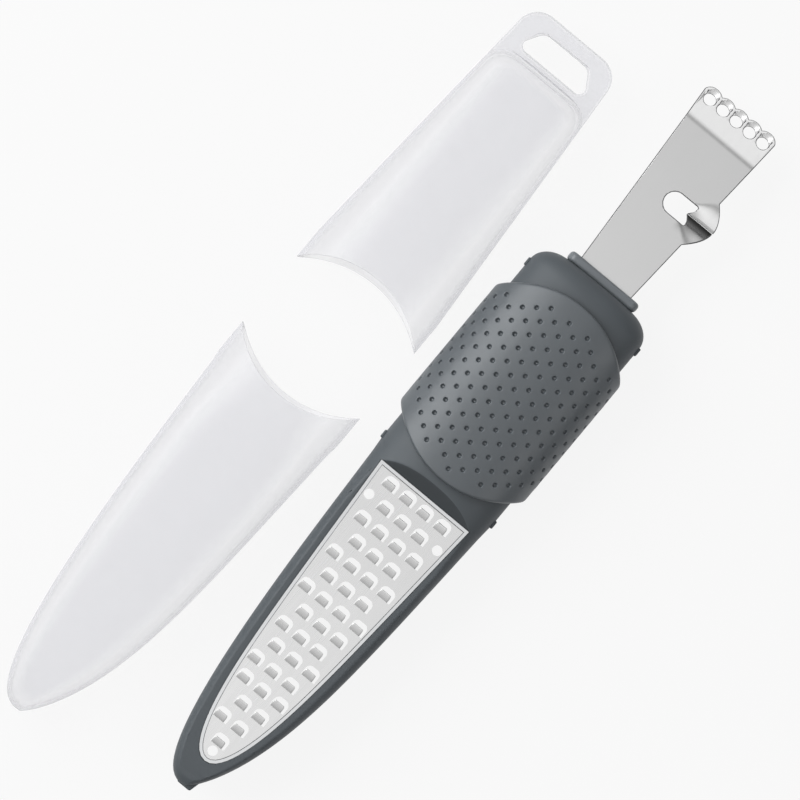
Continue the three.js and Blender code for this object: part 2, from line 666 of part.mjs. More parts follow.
// Flat tab past the chamber, with the hanging hole.
function hangingTab() {
  const root = chamberEnd - CHAMBER_CORNER;
  const end = chamberEnd + TAB_LENGTH;
  const half = chamberHalfWidth - TAB_NARROWING;
  const shape = new THREE.Shape();
  shape.moveTo(root, chamberHalfWidth);
  shape.lineTo(root, -chamberHalfWidth);
  shape.absarc(end - TAB_CORNER, -half + TAB_CORNER, TAB_CORNER, -Math.PI / 2, 0, false);
  shape.absarc(end - TAB_CORNER, half - TAB_CORNER, TAB_CORNER, 0, Math.PI / 2, false);
  shape.closePath();

  const far = end - LOOP_BAND - LOOP_TIP_CORNER;
  const near = end - LOOP_BAND - LOOP_LENGTH + LOOP_CORNER;
  const farHalf = LOOP_TIP_WIDTH / 2 - LOOP_TIP_CORNER;
  const nearHalf = LOOP_WIDTH / 2 - LOOP_CORNER;
  const hole = new THREE.Path();
  hole.absarc(far, farHalf, LOOP_TIP_CORNER, 0, Math.PI / 2, false);
  hole.absarc(near, nearHalf, LOOP_CORNER, Math.PI / 2, Math.PI, false);
  hole.absarc(near, -nearHalf, LOOP_CORNER, Math.PI, 1.5 * Math.PI, false);
  hole.absarc(far, -farHalf, LOOP_TIP_CORNER, 1.5 * Math.PI, 2 * Math.PI, false);
  hole.closePath();
  shape.holes.push(hole);
  return prism(shape, -TAB_THICK / 2, TAB_THICK / 2);
}

function zesterCover() {
  let cover = loft(chamberStations(0)).add(solid(hangingTab()));
  cover = cover.subtract(loft(chamberStations(COVER_WALL)));
  cover = cover.subtract(coverMouth());
  for (const nub of nubs(1, FIT)) cover = cover.subtract(solid(nub));
  return cover;
}

// A loose cover lies on its tapered side, moved along the tool by `shift`, with its lowest edge on the bench.
function laidAside(mesh, lean, shift) {
  const group = new THREE.Group();
  group.add(mesh);
  group.rotation.y = lean;
  group.position.set(shift, gripHalfWidth + COVER_ASIDE + coverHalfWidth, 0);
  group.updateMatrixWorld(true);
  group.position.z = -new THREE.Box3().setFromObject(group, true).min.z;
  return group;
}

// Tool: everything that stays together, lifted so that the grip's flat lies on the bench
const tool = new THREE.Group();
tool.position.z = axisHeight;
tool.add(part('handle_body', handleBody(), plastic));
tool.add(part('grip_sleeve', gripSleeve(), rubber));
tool.add(part('blade_collar', bladeCollar(), plastic));
tool.add(part('zester_blade', zesterBlade(), steel));
pinPlaces.forEach((x, k) => tool.add(part(`tang_pin_${k + 1}`, tangPin(x), steel)));
const plate = part('grater_plate', graterPlate(), steel);
plate.applyMatrix4(platePlane);
tool.add(plate);

// Covers: made as fitted on the tool, then laid aside, mouth to mouth
const mouthTip = Math.sqrt((GRIP_EDGE_RADIUS + FIT) ** 2 - coverHalfWidth ** 2) + gripEnd - GRIP_EDGE_RADIUS;
const graterLean = Math.atan((bodyHalfThick - TIP_THICK / 2) / (frameLength + THROAT_LENGTH));
const zesterTaper = bodyHalfThick + FIT + COVER_WALL - chamberHalfThick;
const zesterLean = Math.atan(zesterTaper / (chamberEnd - shoulderStart - CHAMBER_CORNER));
const zesterShift = COVER_APART - 2 * mouthTip - COVER_BACK;

const group = new THREE.Group();
group.add(tool);
group.add(laidAside(part('grater_cover', graterCover(), frosted), -graterLean, -COVER_BACK));
group.add(laidAside(part('zester_cover', zesterCover(), frosted), zesterLean, zesterShift));

export default group;
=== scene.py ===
import math

import bpy
from mathutils import Matrix, Vector


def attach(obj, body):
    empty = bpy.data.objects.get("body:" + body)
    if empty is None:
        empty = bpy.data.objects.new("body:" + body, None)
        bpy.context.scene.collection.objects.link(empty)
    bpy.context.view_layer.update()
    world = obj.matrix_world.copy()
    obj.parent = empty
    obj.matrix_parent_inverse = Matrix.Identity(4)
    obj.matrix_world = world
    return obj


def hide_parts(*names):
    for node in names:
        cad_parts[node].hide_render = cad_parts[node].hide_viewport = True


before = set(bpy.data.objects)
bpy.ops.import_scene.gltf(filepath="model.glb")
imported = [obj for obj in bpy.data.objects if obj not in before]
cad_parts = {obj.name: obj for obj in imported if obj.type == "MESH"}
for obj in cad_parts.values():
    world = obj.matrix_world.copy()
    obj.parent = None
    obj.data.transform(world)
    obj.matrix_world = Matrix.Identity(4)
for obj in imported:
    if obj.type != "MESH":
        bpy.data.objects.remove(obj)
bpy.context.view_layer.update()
bpy.ops.object.select_all(action="DESELECT")

# Handle body
# One satin slate-grey moulding: the bar under the grip, the rounded shoulder at the zester, and the
# boat-shaped frame round the grater, whose open underside lets the zest fall through.
# The frame is deepest at the handle and thins to a nose that is fuller on the covers' side.

MM = 0.001
middle_height = 13.3 * MM  # middle plane of the tool, above the bench
body_half_width = 20.2 * MM
body_half_thick = 11 * MM
body_squareness = 2.3
grip_crown = 31.6 * MM
shoulder_end = 39.7 * MM
shoulder_round = 6.5 * MM  # length over which the end is rounded
shoulder_narrowing = 8.5 * MM
shoulder_thinning = 5 * MM
shoulder_steps = 12
plate_top = -38 * MM
plate_half_width = 16.1 * MM
plate_length = 98 * MM
plate_leaf = (0.39, 6, 0.47)  # taper, then how full and how blunt the tip is
plate_thick = 0.8 * MM
plate_fit = 0.2 * MM
plate_rise = 7.5 * MM
plate_slope = math.radians(1.5)
plate_plane = (
    Matrix.Translation((plate_top, 0, middle_height + plate_rise)) @ Matrix.Rotation(-plate_slope, 4, "Y")
)
ledge_width = 1.15 * MM
rim_round = 0.45 * MM
slope_run = 4.5 * MM
slope_rise = body_half_thick - plate_rise
frame_half_width = 19.7 * MM
frame_length = 107.7 * MM
frame_run = frame_length - plate_top - grip_crown  # from the grip to the nose, where the body thins
frame_squareness = 3.2
frame_leaf = (0.25, 3.4, 0.36)
frame_leaf_away = (0.25, 5, 0.8)  # on the side away from the covers
tip_half_thick = 6 * MM
tip_share = 0.997  # the nose ends in a small flat, at this share of the frame's length
first_row = 3.6 * MM  # from the plate's top edge to its first row of teeth
last_row = 7.4 * MM  # from its last row to the tip
tooth_rows = 15
row_pitch = (plate_length - first_row - last_row) / (tooth_rows - 1)
locator_margin = 2.9 * MM
locator_tip = 3.6 * MM
locator_room = (2.4 * MM, 2.4 * MM, 3 * MM)  # radius of the clearance below each locator hole
socket_start = 9.4 * MM
socket_half_width = 11.55 * MM
socket_half_thick = 3.1 * MM
lug_root, lug_root_half = -137.7 * MM, 4.25 * MM
lug_tip, lug_tip_half = -145.7 * MM, 2.3 * MM
lug_half_thick = 2.5 * MM
lug_round = 0.5 * MM
nub_length, nub_depth, nub_height = 2.6 * MM, 1 * MM, 4.4 * MM
nub_past_grip = 0.4 * MM
nub_round = 0.35 * MM
past = 30 * MM  # how far a cutting block reaches past what it cuts
past_end = 60 * MM  # a place beyond the handle's end


def leaf(share, half, shape):
    """Half width of a long leaf at a share of its length: a straight taper to a round tip."""
    taper, power, root = shape
    return half * (1 - taper * share) * max(1 - share ** power, 0) ** root


def smooth_step(value, low, high):
    share = min(max((value - low) / (high - low), 0), 1)
    return share * share * (3 - 2 * share)


def evenly_spaced(points, count):
    """Points at even steps along a fine line of points, with both its ends."""
    lengths = [0]
    for near, far in zip(points, points[1:]):
        lengths.append(lengths[-1] + (far - near).length)
    spaced, at = [], 0
    for step in range(count + 1):
        wanted = lengths[-1] * step / count
        while at < len(points) - 2 and lengths[at + 1] < wanted:
            at += 1
        share = (wanted - lengths[at]) / (lengths[at + 1] - lengths[at])
        spaced.append(points[at].lerp(points[at + 1], share))
    return spaced


def leaf_side(length, count, half, shape, fineness=3000):
    """One side of a leaf's outline at even steps, from its wide end to its tip."""
    shares = [step / fineness for step in range(fineness + 1)]
    return evenly_spaced([Vector((length * share, leaf(share, half, shape))) for share in shares], count)


def frame_sections(grow, reach, count=84):
    """Sections of the grater half, from its tip to the plate's top edge.
    Each gives its place, the half widths on both sides, the half height and the squareness."""
    length = frame_length + reach
    half = frame_half_width + grow
    shares = [point.x / length for point in leaf_side(length, count, half, frame_leaf)]
    shares = [share for share in shares if share < tip_share - 0.001] + [tip_share]
    sections = []
    for share in reversed(shares):
        place = plate_top - share * length
        down = min((-grip_crown - place) / frame_run, 1)
        thick = body_half_thick + (tip_half_thick - body_half_thick) * down + grow
        squaring = smooth_step(share, -0.06, 0.16)
        sections.append((
            place,
            leaf(share, half, frame_leaf),
            leaf(share, half, frame_leaf_away),
            thick * (1 - share ** 20) ** 0.3,
            body_squareness + (frame_squareness - body_squareness) * squaring,
        ))
    return sections


def body_section(place, grow=0):
    return (place, body_half_width + grow, body_half_width + grow, body_half_thick + grow, body_squareness)


def pick(piece, mode, wanted):
    """Opens a piece for editing with only the wanted faces or edges selected."""
    bpy.ops.object.select_all(action="DESELECT")
    bpy.context.view_layer.objects.active = piece
    piece.select_set(True)
    bpy.ops.object.mode_set(mode="EDIT")
    bpy.ops.mesh.select_mode(type=mode)
    bpy.ops.mesh.select_all(action="DESELECT")
    bpy.ops.object.mode_set(mode="OBJECT")
    for part in piece.data.polygons if mode == "FACE" else piece.data.edges:
        part.select = wanted(part)
    bpy.ops.object.mode_set(mode="EDIT")


def squared(turn, squareness):
    """A sine or cosine drawn out towards the corners of a rounded rectangle."""
    return math.copysign(abs(turn) ** (2 / squareness), turn)


def hull(name, sections, height, ring=128):
    """Closed hull along X: a cylinder drawn out section by section, then each ring is given its shape."""
    places = [section[0] for section in sections]
    bpy.ops.mesh.primitive_cylinder_add(
        vertices=ring, radius=1, depth=places[1] - places[0], end_fill_type="NGON",
        location=((places[0] + places[1]) / 2, 0, 0), rotation=(0, math.pi / 2, 0),
    )
    piece = bpy.context.object
    piece.name = name
    bpy.ops.object.transform_apply(location=True, rotation=True, scale=True)
    pick(piece, "FACE", lambda face: face.normal.x > 0.9)
    for near, far in zip(places[1:], places[2:]):
        bpy.ops.mesh.extrude_region_move(TRANSFORM_OT_translate={"value": (far - near, 0, 0)})
    bpy.ops.object.mode_set(mode="OBJECT")
    for vertex in piece.data.vertices:
        nearest = min(range(len(places)), key=lambda k: abs(places[k] - vertex.co.x))
        place, left, right, thick, squareness = sections[nearest]
        across, up = vertex.co.y, vertex.co.z
        half = left if across > 0 else right
        vertex.co = (place, half * squared(across, squareness), thick * squared(up, squareness) + height)
    return piece


def prism(outline, low, high, place=Matrix.Identity(4)):
    """Block over a flat outline between two heights: a filled circle bent to the outline, then drawn up."""
    bpy.ops.mesh.primitive_circle_add(vertices=len(outline), fill_type="NGON")
    block = bpy.context.object
    for vertex, (x, y) in zip(block.data.vertices, outline):
        vertex.co = (x, y, low)
    bpy.ops.object.mode_set(mode="EDIT")
    bpy.ops.mesh.select_all(action="SELECT")
    bpy.ops.mesh.extrude_region_move(TRANSFORM_OT_translate={"value": (0, 0, high - low)})
    bpy.ops.mesh.select_all(action="SELECT")
    bpy.ops.mesh.normals_make_consistent(inside=False)
    bpy.ops.object.mode_set(mode="OBJECT")
    block.data.transform(place)
    return block


def bar(start, end, half_width, half_thick):
    """Straight block along the tool's middle line."""
    outline = [(start, -half_width), (end, -half_width), (end, half_width), (start, half_width)]
    return prism(outline, middle_height - half_thick, middle_height + half_thick)


def apply_modifier(piece, kind, **settings):
    bpy.context.view_layer.objects.active = piece
    modifier = piece.modifiers.new(kind.lower(), kind)
    for setting, value in settings.items():
        setattr(modifier, setting, value)
    bpy.ops.object.modifier_apply(modifier=modifier.name)


def combine(piece, tool, operation, finish):
    """Joins a block to a piece, or cuts it out. Faces left by the block take one of the piece's materials."""
    for material in piece.data.materials:
        tool.data.materials.append(material)
    for face in tool.data.polygons:
        face.material_index = finish
    apply_modifier(piece, "BOOLEAN", object=tool, operation=operation, solver="MANIFOLD")
    bpy.data.objects.remove(tool)


def cut(piece, tool, finish=0):
    combine(piece, tool, "DIFFERENCE", finish)


def weld(piece, tool, finish=0):
    combine(piece, tool, "UNION", finish)


def round_edges(piece, width, segments=3, angle=35, material=-1):
    """Rounds the sharp edges, after corners that lie too close together for that are joined."""
    apply_modifier(piece, "WELD", merge_threshold=0.7 * width)
    apply_modifier(
        piece, "BEVEL", width=width, segments=segments, limit_method="ANGLE",
        angle_limit=math.radians(angle), use_clamp_overlap=False, harden_normals=False, material=material,
    )


def smooth(piece, angle=40, weight=50):
    bpy.ops.object.select_all(action="DESELECT")
    bpy.context.view_layer.objects.active = piece
    piece.select_set(True)
    bpy.ops.object.shade_smooth_by_angle(angle=math.radians(angle))
    apply_modifier(piece, "WEIGHTED_NORMAL", keep_sharp=True, weight=weight)
    piece.select_set(False)


def plate_outline(grow, count=60):
    """Plan of the grater plate in its own plane: the top edge on x = 0, the tip at -X."""
    side = leaf_side(plate_length + 2 * grow, count, plate_half_width + grow, plate_leaf)
    side = [(grow - x, y) for x, y in side]
    return side + [(x, -y) for x, y in reversed(side[:-1])]


def arc(x, y, radius, start, end, count):
    """Points along a circular arc, with angles in degrees."""
    turns = [math.radians(start + (end - start) * step / count) for step in range(count + 1)]
    return [(x + radius * math.cos(turn), y + radius * math.sin(turn)) for turn in turns]


def circle(x, y, radius):
    return arc(x, y, radius, 0, 350, 35)


def value_noise(tree, scale, detail, stretch=(1, 1, 1)):
    """Noise on the piece's own coordinates, drawn out along an axis if asked."""
    place = tree.nodes.new("ShaderNodeTexCoord")
    mapping = tree.nodes.new("ShaderNodeMapping")
    mapping.inputs["Scale"].default_value = stretch
    noise = tree.nodes.new("ShaderNodeTexNoise")
    noise.inputs["Scale"].default_value = scale
    noise.inputs["Detail"].default_value = detail
    tree.links.new(place.outputs["Object"], mapping.inputs["Vector"])
    tree.links.new(mapping.outputs["Vector"], noise.inputs["Vector"])
    return noise.outputs["Fac"]


def texture_group(name, noises):
    """Shared texture that gives out one noise value under each name."""
    group = bpy.data.node_groups.new(name, "ShaderNodeTree")
    for label in noises:
        group.interface.new_socket(label, in_out="OUTPUT", socket_type="NodeSocketFloat")
    out = group.nodes.new("NodeGroupOutput")
    for label, settings in noises.items():
        group.links.new(value_noise(group, *settings), out.inputs[label])
    return group


def spread(tree, value, source, target, course="LINEAR"):
    """Carries a value from one span over to another, and holds it at both ends."""
    carry = tree.nodes.new("ShaderNodeMapRange")
    carry.interpolation_type = course
    for socket, limit in zip(("From Min", "From Max", "To Min", "To Max"), (*source, *target)):
        carry.inputs[socket].default_value = limit
    tree.links.new(value, carry.inputs["Value"])
    return carry.outputs["Result"]


def two_tones(tree, value, dark, light):
    ramp = tree.nodes.new("ShaderNodeMix")
    ramp.data_type = "RGBA"
    ramp.inputs["A"].default_value = (*dark, 1)
    ramp.inputs["B"].default_value = (*light, 1)
    tree.links.new(value, ramp.inputs["Factor"])
    return ramp.outputs["Result"]


def textured(name, texture, tones, roughness, relief):
    """Material whose colour, roughness and relief each follow one value of a shared texture."""
    material = bpy.data.materials.new(name)
    material.use_nodes = True
    tree = material.node_tree
    shader = tree.nodes["Principled BSDF"]
    values = tree.nodes.new("ShaderNodeGroup")
    values.node_tree = texture
    label, dark, light = tones
    tree.links.new(two_tones(tree, values.outputs[label], dark, light), shader.inputs["Base Color"])
    label, smoother, rough = roughness
    uneven = spread(tree, values.outputs[label], (0.3, 0.7), (smoother, rough))
    tree.links.new(uneven, shader.inputs["Roughness"])
    label, strength, depth = relief
    bump = tree.nodes.new("ShaderNodeBump")
    bump.inputs["Strength"].default_value = strength
    bump.inputs["Distance"].default_value = depth
    tree.links.new(values.outputs[label], bump.inputs["Height"])
    tree.links.new(bump.outputs["Normal"], shader.inputs["Normal"])
    return material


# Moulded grain: the spark-eroded texture of the mould and the slow mottling of the coloured plastic.
moulded_grain = texture_group("moulded_grain", {"Grain": (3200, 2), "Mottle": (90, 4)})


def moulded(name, dark, light, rough, smoother, grain_depth, specular):
    """Moulded plastic or rubber: two close tones, uneven gloss and a fine grain."""
    material = textured(
        name, moulded_grain, ("Mottle", dark, light), ("Mottle", smoother, rough),
        ("Grain", 0.25, grain_depth),
    )
    material.node_tree.nodes["Principled BSDF"].inputs["Specular IOR Level"].default_value = specular
    return material


slate_plastic = moulded(
    "slate_plastic", (0.072, 0.083, 0.092), (0.083, 0.095, 0.105), 0.6, 0.5, 0.03 * MM, 0.45,
)
# Painted shade: a darker, rougher copy of the slate plastic for the slope from the plate up to the grip,
# which stands in for the shade on that face
recess_painted_shade = moulded(
    "recess_painted_shade", (0.052, 0.058, 0.063), (0.06, 0.068, 0.074), 0.75, 0.65, 0.05 * MM, 0.3,
)

shoulder = []
for step in range(shoulder_steps + 1):
    angle = math.pi / 2 * step / shoulder_steps
    drawn = 1 - math.cos(angle)
    half = body_half_width - shoulder_narrowing * drawn
    thick = body_half_thick - shoulder_thinning * drawn
    place = shoulder_end - shoulder_round * (1 - math.sin(angle))
    shoulder.append((place, half, half, thick, body_squareness))
handle = hull("handle_moulding", frame_sections(0, 0) + [body_section(-grip_crown)] + shoulder, middle_height)
handle.data.materials.append(slate_plastic)
handle.data.materials.append(recess_painted_shade)

# The grater's side of the body is cut down to the plate's plane, with a slope up to the grip
clearance = [
    (0, 0), (slope_run * past / slope_rise, past), (-frame_length - past, past), (-frame_length - past, 0),
]
cut(handle, prism(clearance, -past, past, plate_plane @ Matrix.Rotation(math.pi / 2, 4, "X")))
# The slope's faces, which face the tip, take the painted shade
for face in handle.data.polygons:
    if plate_top - MM < face.center.x < 0 and face.normal.x < -0.4:
        face.material_index = 1
round_edges(handle, rim_round, segments=4, angle=30)
apply_modifier(handle, "TRIANGULATE", min_vertices=5)

# Seat and window for the plate, room below its locator holes, and the socket for the collar
cut(handle, prism(plate_outline(plate_fit), -plate_thick - plate_fit, past, plate_plane))
cut(handle, prism(plate_outline(-ledge_width), -past, past, plate_plane))
locator_x = -first_row - row_pitch
locator_y = leaf(-locator_x / plate_length, plate_half_width, plate_leaf) - locator_margin
locators = [(locator_x, locator_y), (locator_x, -locator_y), (locator_tip - plate_length, 0)]
for (x, y), room in zip(locators, locator_room):
    cut(handle, prism(circle(x, y, room), -past, MM, plate_plane))
cut(handle, bar(socket_start, past_end, socket_half_width, socket_half_thick))
apply_modifier(handle, "TRIANGULATE", min_vertices=5)

# The lug on the tip and the four nubs on the flanks
lug_outline = [(lug_tip, -lug_tip_half), (lug_root, -lug_root_half)]
lug_outline += [(x, -y) for x, y in reversed(lug_outline)]
lug = prism(lug_outline, middle_height - lug_half_thick, middle_height + lug_half_thick)
round_edges(lug, lug_round)
weld(handle, lug)
for end in (-1, 1):
    for flank in (-1, 1):
        bpy.ops.mesh.primitive_cube_add(size=1)
        nub = bpy.context.object
        nub.data.transform(
            Matrix.Translation((end * (grip_crown + nub_past_grip), flank * body_half_width, middle_height))
            @ Matrix.Diagonal((nub_length, nub_depth, nub_height, 1))
        )
        round_edges(nub, nub_round)
        weld(handle, nub)
smooth(handle)
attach(handle, "tool")
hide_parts("handle_body")

# Grip sleeve
# A soft rubber sleeve drawn over the bar, with curved ends that follow the covers' mouths.
# Rows of small round dimples, set in a staggered pattern, cover it all round.

grip_wall = 2.8 * MM
grip_half_width = body_half_width + grip_wall
grip_half_thick = body_half_thick + grip_wall
bore_gap = 0.12 * MM
edge_radius = 31 * MM
columns = 36
row_length = 2.425 * MM
row_count = 26
plain_margin = 2.2 * MM
edge_margin = 0.9 * MM  # from the last row to the curved edge
dimple_half = 0.86 * MM
dimple_wall = 0.16 * MM
dimple_lip = 0.06 * MM
dimple_depth = 0.85 * MM


def edge_place(across):
    """Where the grip's curved edge lies, at a distance from the tool's middle line."""
    return grip_crown - edge_radius + math.sqrt(edge_radius ** 2 - across ** 2)


def round_section(shares, half_width, half_height, squareness, fineness=4000):
    """Points at even steps round a section, from half a step past its top."""
    outline = []
    for step in range(fineness + 1):
        angle = 2 * math.pi * step / fineness
        outline.append(Vector((
            half_width * squared(math.sin(angle), squareness),
            half_height * squared(math.cos(angle), squareness),
        )))
    return evenly_spaced(outline, 2 * shares)[1::2]


# The sleeve's closed profile, from one end over the outside to the other end and back through the bore
outside = [row_length * (row - row_count / 2) for row in range(row_count + 1)]
rounding = [(-0.4, 0.06), (-0.06, 0.4), (0, 1.3), (0, 2.55)]  # past the edge, and below the surface
bore_rows = [0.6, 0, -0.6]
profile_count = len(outside) + 2 * len(rounding) + len(bore_rows)
bpy.ops.mesh.primitive_torus_add(major_segments=columns, minor_segments=profile_count)
grip = bpy.context.object
grip.name = "dimpled_sleeve"
kept_rows = []
for column, surface in enumerate(round_section(columns, grip_half_width, grip_half_thick, body_squareness)):
    inward = Vector((-surface.x / grip_half_width ** 2, -surface.y / grip_half_thick ** 2))
    inward.normalize()
    end = edge_place(surface.x)
    kept = [row for row, place in enumerate(outside) if abs(place) <= end - plain_margin]
    kept_rows.append(kept)
    first, last = kept[0], kept[-1]
    rows = []
    for row, place in enumerate(outside):
        if row < first:
            place = outside[first] - (end - edge_margin + outside[first]) * (first - row) / first
        if row > last:
            place = outside[last] + (end - edge_margin - outside[last]) * (row - last) / (row_count - last)
        rows.append((place, 0))
    far_end = [
        (edge_place(surface.x + inward.x * deep * MM) + over * MM, deep * MM) for over, deep in rounding
    ]
    near_end = [(-place, deep) for place, deep in reversed(far_end)]
    bore = [(share * end, grip_wall - bore_gap) for share in bore_rows]
    for row, (place, deep) in enumerate(rows + far_end + bore + near_end):
        point = surface + inward * deep
        grip.data.vertices[column * profile_count + row].co = (
            place, point.x, max(point.y + middle_height, deep),
        )
bpy.ops.object.mode_set(mode="EDIT")
bpy.ops.mesh.select_all(action="SELECT")
bpy.ops.mesh.normals_make_consistent(inside=False)
bpy.ops.object.mode_set(mode="OBJECT")


def holds_dimple(face):
    """Every other cell of the regular rows, as on a chequered board."""
    rows = sorted(vertex % profile_count for vertex in face.vertices)
    sides = sorted(set(vertex // profile_count for vertex in face.vertices))
    column = sides[1] if sides == [0, columns - 1] else sides[0]
    regular = rows[-1] == rows[0] + 1 and all(
        row in kept_rows[side] for row in (rows[0], rows[-1]) for side in sides
    )
    return regular and (rows[0] + column) % 2 == 0


pick(grip, "FACE", holds_dimple)
bpy.ops.mesh.inset(thickness=0.25 * MM, use_individual=True)
bpy.ops.object.mode_set(mode="OBJECT")
for face in [face for face in grip.data.polygons if face.select]:
    centre, across = face.center.copy(), face.normal.cross(Vector((1, 0, 0)))
    for index in face.vertices:
        offset = grip.data.vertices[index].co - centre
        grip.data.vertices[index].co = (
            centre + Vector((math.copysign(dimple_half, offset.x), 0, 0))
            + across * math.copysign(dimple_half, offset.dot(across))
        )
bpy.ops.object.mode_set(mode="EDIT")
for depth in (dimple_lip, dimple_depth):
    bpy.ops.mesh.inset(thickness=dimple_wall, depth=-depth, use_individual=True)
bpy.ops.object.mode_set(mode="OBJECT")
apply_modifier(grip, "SUBSURF", levels=2, render_levels=2)
smooth(grip, 180)
soft_rubber = moulded(
    "soft_rubber", (0.076, 0.088, 0.098), (0.087, 0.1, 0.111), 0.5, 0.42, 0.035 * MM, 0.85,
)
grip.data.materials.clear()
grip.data.materials.append(soft_rubber)
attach(grip, "tool")
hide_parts("grip_sleeve")

# Grater plate
# A stainless sheet stamped to the frame's window, its middle pressed up a little inside a flat border.
# Each arched opening has a tongue, cut on three sides and lifted towards the handle.

border_width = 0.9 * MM
press_step = 0.3 * MM
press_run = 0.2 * MM
locator_radius = 1.525 * MM
opening_half = 2.4 * MM
opening_length = 3.8 * MM
opening_corner = 1.7 * MM
tooth_half = 1.85 * MM
tooth_length = 2.45 * MM
tooth_thick = 0.5 * MM
tooth_root = 0.27 * MM  # how far a tongue starts inside the sheet
tooth_root_lift = math.radians(33)
tooth_tip_lift = math.radians(12)
tooth_shift = 0.3 * MM
tooth_margin = 6.6 * MM
tooth_edge_round = 0.1 * MM
scratch_depth = 0.01 * MM
row_teeth = [4, 3, 4, 3, 4, 3, 4, 3, 3, 3, 3, 3, 2, 2, 1]
row_step = [0, 0, 0, 0, 0, 0, 0, -1.2, 1.2, -1.2, 1.2, 0, -1.2, 1.2, 0]
tooth_pitch = 2 * (plate_half_width - tooth_margin) / (row_teeth[0] - 1)


def join(pieces):
    bpy.ops.object.select_all(action="DESELECT")
    for piece in pieces:
        piece.select_set(True)
    bpy.context.view_layer.objects.active = pieces[0]
    bpy.ops.object.join()
    return pieces[0]


# Brushed steel: fine scratches from the rolling mill, drawn out along the sheet, and slow cloudy patches.
mill_brushing = texture_group("mill_brushing", {"Scratch": (900, 3, (0.03, 1, 1)), "Cloud": (70, 3)})


def brushed(name, dark, light, smoother, rough, strength):
    """Sheet steel with a brushed finish of some strength."""
    material = textured(
        name, mill_brushing, ("Cloud", dark, light), ("Scratch", smoother, rough),
        ("Scratch", strength, scratch_depth),
    )
    material.node_tree.nodes["Principled BSDF"].inputs["Metallic"].default_value = 1
    return material


plate = prism(plate_outline(0), -plate_thick, -press_step)
plate.name = "grater_sheet"
for material in (
    brushed("plate_steel", (0.76, 0.76, 0.76), (0.81, 0.81, 0.81), 0.24, 0.3, 0.12),
    brushed("coined_border", (0.75, 0.76, 0.77), (0.79, 0.8, 0.81), 0.3, 0.36, 0.08),
    # Painted shade: the pressed step gets dark steel, which draws a thin shaded line round the border
    brushed("painted_step_shade", (0.3, 0.3, 0.31), (0.36, 0.36, 0.37), 0.4, 0.5, 0.08),
):
    plate.data.materials.append(material)
pick(plate, "FACE", lambda face: face.normal.z > 0.9)
bpy.ops.mesh.inset(thickness=border_width)
bpy.ops.mesh.inset(thickness=press_run, depth=press_step)
bpy.ops.object.mode_set(mode="OBJECT")
# The step's slope takes the painted shade, the flat border the coined finish
for face in plate.data.polygons:
    if face.normal.z > 0.1 and face.center.z < -0.01 * MM:
        face.material_index = 1 if face.normal.z > 0.99 else 2
cutters = [prism(circle(x, y, locator_radius), -past, past) for x, y in locators]
corner = opening_half - opening_corner
opening = (
    [(0, opening_half), (0, -opening_half)]
    + arc(opening_length - opening_corner, -corner, opening_corner, -90, 0, 10)
    + arc(opening_length - opening_corner, corner, opening_corner, 0, 90, 10)
)
tooth_places = []
for row, (count, step) in enumerate(zip(row_teeth, row_step)):
    for tooth in range(count):
        tooth_places.append((
            -first_row - row * row_pitch - opening_length / 2,
            (tooth - (count - 1) / 2) * tooth_pitch + step * MM,
        ))
cutters += [prism([(x + a, y + b) for a, b in opening], -past, past) for x, y in tooth_places]
cut(plate, join(cutters))

# One tongue, curved as the punch leaves it, and a copy of it in every opening
bpy.ops.mesh.primitive_grid_add(x_subdivisions=10, y_subdivisions=8, size=2)
tongue = bpy.context.object
bend = tooth_length / (tooth_tip_lift - tooth_root_lift)
for vertex in tongue.data.vertices:
    run = -tooth_root + (vertex.co.x + 1) / 2 * (tooth_length + tooth_root)
    turn = tooth_root_lift + max(run, 0) / bend
    reach = min(run, 0) * math.cos(turn) + bend * (math.sin(turn) - math.sin(tooth_root_lift))
    rise = min(run, 0) * math.sin(turn) + bend * (math.cos(tooth_root_lift) - math.cos(turn))
    rounding_off = 1 - 0.16 * max(run / tooth_length, 0) ** 6
    vertex.co = (reach, vertex.co.y * tooth_half * rounding_off, rise)
apply_modifier(tongue, "SOLIDIFY", thickness=tooth_thick, offset=0)
round_edges(tongue, tooth_edge_round, segments=2, angle=60)
tongues = []
for x, y in tooth_places:
    copy = bpy.data.objects.new("tongue", tongue.data.copy())
    bpy.context.scene.collection.objects.link(copy)
    copy.data.transform(Matrix.Translation((x, y + tooth_shift, -plate_thick / 2)))
    tongues.append(copy)
bpy.data.objects.remove(tongue)
weld(plate, join(tongues))
plate.data.transform(plate_plane)
smooth(plate, 30)
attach(plate, "tool")
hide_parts("grater_plate")

# Zester blade
# A stainless strip that widens to its head, which is bent down and ends in five sharpened, scalloped holes.
# On one edge a strip is slit across: one half is raised to the channel knife's cutting edge, the other
# pressed down.

blade_thick = 1 * MM
blade_edge_round = 0.24 * MM
blade_root_half = 9.2 * MM
tang_end = 12.7 * MM
collar_end = 42.7 * MM
bend_start = 92.6 * MM
bend_lead = 1.5 * MM
head_length = 12.75 * MM
head_tilt = math.radians(20)
bend_radius = 6 * MM
bend_end = bend_start + bend_radius * head_tilt
knife_edge = 71.6 * MM
knife_half = 7.9 * MM
knife_bulge = 4.4 * MM
knife_rise = 2.4 * MM
knife_dip = 2.4 * MM
lip_grind = 0.9 * MM
slit_start = 4.3 * MM
# how far the painted shade in the knife's hollow reaches from the slit
painted_shade_run = 6.5 * MM
slot_half = 3.35 * MM
slot_near = 1.9 * MM
slot_far = 7.5 * MM
slot_horn = 1.5 * MM
slot_corner = 0.5 * MM
hole_count = 5
hole_radius = 1.9 * MM
hole_pitch = 4.9 * MM
hole_setback = 4 * MM
edge_grind = 1.7 * MM
scallop_depth = 1 * MM
head_half = 13.1 * MM
head_corner = 3 * MM
strips = 64


def evenly(start, end, count):
    return [start + (end - start) * step / count for step in range(1, count + 1)]


